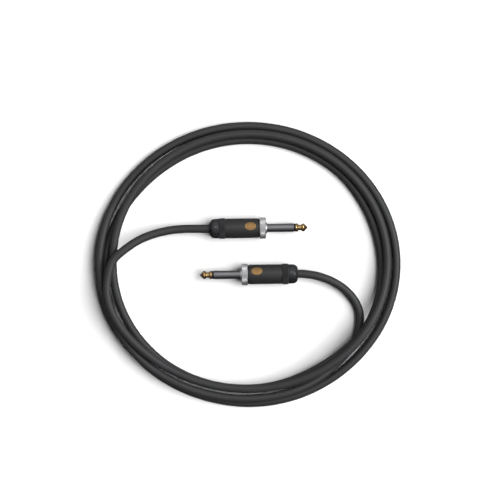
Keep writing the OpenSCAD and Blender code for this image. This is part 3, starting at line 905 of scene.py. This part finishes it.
class BARREL_OT_build(bpy.types.Operator):
    """Builds each plug's barrel with a plain gold mark of short bars"""

    bl_idname = "instrument_cable.barrels"
    bl_label = "Barrels"

    def execute(self, context):
        plug, finishes = context.scene.cable_plugs, context.scene.cable_finishes
        black = anodised_aluminium("blasted_black_anodising", finishes.anodised, 0.34, 0.46)
        foil = gold_foil(finishes.mark)
        # A narrow recess beside the front ring is painted dark like a groove's bottom: painted
        # shade.
        bore, recess_depth = plug.spigot_radius + FIT_GAP, 0.45 * MM
        recess = (BARREL_FRONT - 1.1 * MM, BARREL_FRONT + 0.01 * MM)
        outline = [
            (BARREL_BACK, bore, 0), (BARREL_BACK, BARREL_R, 0.25 * MM),
            (recess[0], BARREL_R, 0.06 * MM), (recess[0] + 0.02 * MM, BARREL_R - recess_depth, 0),
            (BARREL_FRONT, BARREL_R - recess_depth, 0), (BARREL_FRONT, bore, 0),
        ]
        # The marks' middles lie off the barrels' tops by these angles.
        for side, turn in zip(SIDES, (-12, 22)):
            barrel = turned_piece(f"barrel_shell_{side}", side, outline, black, recess)
            settle(barrel, side, "cable", "barrel")
            mark = self.mark(f"gold_mark_{side}", side, math.radians(turn), foil)
            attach(mark, "cable")
        return {"FINISHED"}

    def mark(self, name, side, turn, material):
        """Bars across the barrel that fill an oval, raised by the foil's thickness."""
        middle, half_length, half_width = -11.7 * MM, 4.15 * MM, 3.2 * MM
        pitch, bar, steps, foil = 0.92 * MM, 0.66 * MM, 14, 0.02 * MM
        low, high = BARREL_R - foil, BARREL_R + foil
        vertices, faces = [], []
        for k in range(-4, 5):
            x = k * pitch
            reach = half_width * math.sqrt(1 - (x / half_length) ** 2) / BARREL_R
            first = len(vertices)
            for step in range(steps + 1):
                angle = turn + reach * (2 * step / steps - 1)
                for ahead, radius in ((-1, low), (-1, high), (1, high), (1, low)):
                    place = middle + x + ahead * bar / 2
                    vertices.append((place, -radius * math.sin(angle), radius * math.cos(angle)))
            for step in range(steps):
                at = first + 4 * step
                faces += [
                    [at + i, at + (i + 1) % 4, at + 4 + (i + 1) % 4, at + 4 + i] for i in range(4)
                ]
            end = first + 4 * steps
            faces += [[first, first + 1, first + 2, first + 3], [end, end + 1, end + 2, end + 3]]
        return new_piece(name, vertices, faces, material, side)


class REAR_NUT_OT_build(bpy.types.Operator):
    """Builds each plug's knurled rear nut with its thread"""

    bl_idname = "instrument_cable.rear_nuts"
    bl_label = "Rear nuts"

    def execute(self, context):
        plug, knurl = context.scene.cable_plugs, context.scene.cable_knurl
        black = anodised_aluminium(
            "knurled_black_anodising", context.scene.cable_finishes.knurled, 0.3, 0.42
        )
        count = round(2 * math.pi * NUT_R / knurl.pitch)
        front, bore, lead = BARREL_BACK - 0.1 * MM, 5 * MM, 0.3 * MM
        for side in SIDES:
            turning = Turning(knurl_angles(count, knurl.flat))
            back_edge, front_edge = turning.knurl(
                NUT_BACK + plug.edge, front - plug.edge, NUT_R, knurl, count, knurl.nut_depth
            )
            thread_back, thread_front = turning.thread(
                front + lead, NUT_FRONT - lead, plug.spigot_radius, knurl
            )
            first, last = turning.run([(front, NUT_R - plug.edge), (front, plug.spigot_radius)])
            turning.join(front_edge, first)
            turning.join(last, thread_back)
            first, last = turning.run([
                (NUT_FRONT, plug.spigot_radius - lead), (NUT_FRONT, bore), (NUT_BACK, bore),
                (NUT_BACK, NUT_R - plug.edge),
            ])
            turning.join(thread_front, first)
            turning.join(last, back_edge)
            nut = turning.piece(f"rear_nut_knurled_{side}", side, black)
            settle(nut, side, f"rear_nut_{side}", "rear_nut")
        return {"FINISHED"}


class END_CAP_OT_build(bpy.types.Operator):
    """Builds each plug's glossy domed end cap"""

    bl_idname = "instrument_cable.end_caps"
    bl_label = "End caps"

    def execute(self, context):
        plug = context.scene.cable_plugs
        lacquer = black_lacquer(context.scene.cable_finishes.lacquer)
        bore, spigot = 3.4 * MM, 4.95 * MM
        # The cap's own cone closes the chuck: its place, and its radii in front and behind.
        cone_end, cone_front, cone_back = CAP_FRONT - 2.1 * MM, 4.5 * MM, 3.765 * MM
        dome_steps, lip_steps, lip_r = 16, 4, 0.25 * MM
        dome = [
            (CAP_BACK + plug.cap_rounding * (1 - math.cos(turn)),
             CAP_R - plug.cap_rounding * (1 - math.sin(turn)))
            for turn in [math.pi / 2 * k / dome_steps for k in range(dome_steps, -1, -1)]
        ]
        # The hole's lip turns in through a small radius.
        lip = [
            (CAP_BACK + lip_r * (1 - math.cos(turn)), bore + lip_r * (1 - math.sin(turn)))
            for turn in [math.pi / 2 * k / lip_steps for k in range(lip_steps + 1)]
        ]
        for side in SIDES:
            turning = Turning(even_angles(120))
            first, last = turning.run([
                (cone_end, bore), (cone_end, cone_back), (CAP_FRONT, cone_front),
                (CAP_FRONT, spigot), (NUT_BACK, spigot), (NUT_BACK, CAP_R - 0.2 * MM),
                (NUT_BACK - 0.06 * MM, CAP_R - 0.06 * MM), (NUT_BACK - 0.2 * MM, CAP_R),
                *dome, *lip,
            ])
            turning.join(last, first)
            cap = turning.piece(f"end_cap_domed_{side}", side, lacquer)
            settle(cap, side, f"rear_nut_{side}", "end_cap")
        return {"FINISHED"}


class INSIDE_OT_build(bpy.types.Operator):
    """Finishes the pieces inside each plug: lugs, solder, liner, chuck and the stripped cable"""

    bl_idname = "instrument_cable.inside"
    bl_label = "Inside the plugs"

    def execute(self, context):
        nylon = moulded("natural_nylon", linear("d9d2bf"), 0.35, 0.5)
        tinned_brass = tinned("tinned_brass", linear("a9acae"), 0.3, 0.45)
        solder = tinned("tin_solder", linear("b4b7ba"), 0.16, 0.3)
        copper = copper_strands(linear("b4704a"))
        finishes = {
            "ground_lug": tinned_brass,
            "lug_insulator": moulded("black_bush_nylon", linear("202024"), 0.4, 0.55),
            "tip_lug": tinned_brass,
            "tip_solder": solder,
            "ground_solder": solder,
            "barrel_liner": moulded("clear_acetate_liner", linear("cfcabc"), 0.15, 0.25),
            "chuck": nylon,
            "cable_screen": copper,
            "conductive_layer": moulded("carbon_loaded_pvc", linear("1c1c1e"), 0.6, 0.75),
            "core_insulation": moulded("foamed_polyethylene", linear("e6e1d5"), 0.5, 0.65),
            "centre_conductor": copper,
        }
        for side in SIDES:
            for node, material in finishes.items():
                surfaces = frame["nodes"][f"{node}_{side}"].data.materials
                surfaces.clear()
                surfaces.append(material)
        return {"FINISHED"}


class CABLE_OT_build(bpy.types.Operator):
    """Builds the cable along its whole route, from inside one plug to inside the other"""

    bl_idname = "instrument_cable.cable"
    bl_label = "Cable"

    def execute(self, context):
        sizes = context.scene.cable_sizes
        radius = sizes.diameter / 2
        line = smooth_line(route(sizes.diameter), sizes.ring_gap, radius)
        jacket = pvc_jacket(context.scene.cable_finishes.jacket)
        cable = cord_mesh("cable_cord", line, radius, sizes.sides, jacket)
        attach(cable, "cable")
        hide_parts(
            "cable_coil", "cable_tail_a", "cable_tail_b", "cable_jacket_a", "cable_jacket_b"
        )
        return {"FINISHED"}


class VIEW3D_PT_instrument_cable(bpy.types.Panel):
    """Lists the sizes, finishes and steps of the instrument cable"""

    bl_label = "Instrument Cable"
    bl_idname = "VIEW3D_PT_instrument_cable"
    bl_space_type = "VIEW_3D"
    bl_region_type = "UI"
    bl_category = "Instrument Cable"

    def draw(self, context):
        for group in SETTINGS:
            box = self.layout.box()
            settings = getattr(context.scene, group)
            for name in settings.bl_rna.properties.keys():
                if name not in ("name", "rna_type"):
                    box.prop(settings, name)
        for operator in OPERATORS:
            self.layout.operator(operator.bl_idname)


SETTINGS = {
    "cable_sizes": CableSizes,
    "cable_plugs": PlugSizes,
    "cable_knurl": KnurlSizes,
    "cable_finishes": Finishes,
    "cable_stage": StageSettings,
}
OPERATORS = (
    STAGE_OT_build, SHAFT_OT_build, FRONT_RING_OT_build, BARREL_OT_build, REAR_NUT_OT_build,
    END_CAP_OT_build, INSIDE_OT_build, CABLE_OT_build,
)


def register():
    for group in (*SETTINGS.values(), *OPERATORS, VIEW3D_PT_instrument_cable):
        bpy.utils.register_class(group)
    for name, group in SETTINGS.items():
        setattr(bpy.types.Scene, name, PointerProperty(type=group))


def unregister():
    for name in SETTINGS:
        delattr(bpy.types.Scene, name)
    for group in (VIEW3D_PT_instrument_cable, *reversed(OPERATORS), *SETTINGS.values()):
        bpy.utils.unregister_class(group)


def main():
    register()
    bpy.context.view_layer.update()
    steps = bpy.ops.instrument_cable
    steps.stage()
    steps.shafts()
    steps.front_rings()
    steps.barrels()
    steps.rear_nuts()
    steps.end_caps()
    steps.inside()
    steps.cable()


if __name__ == "__main__":
    main()
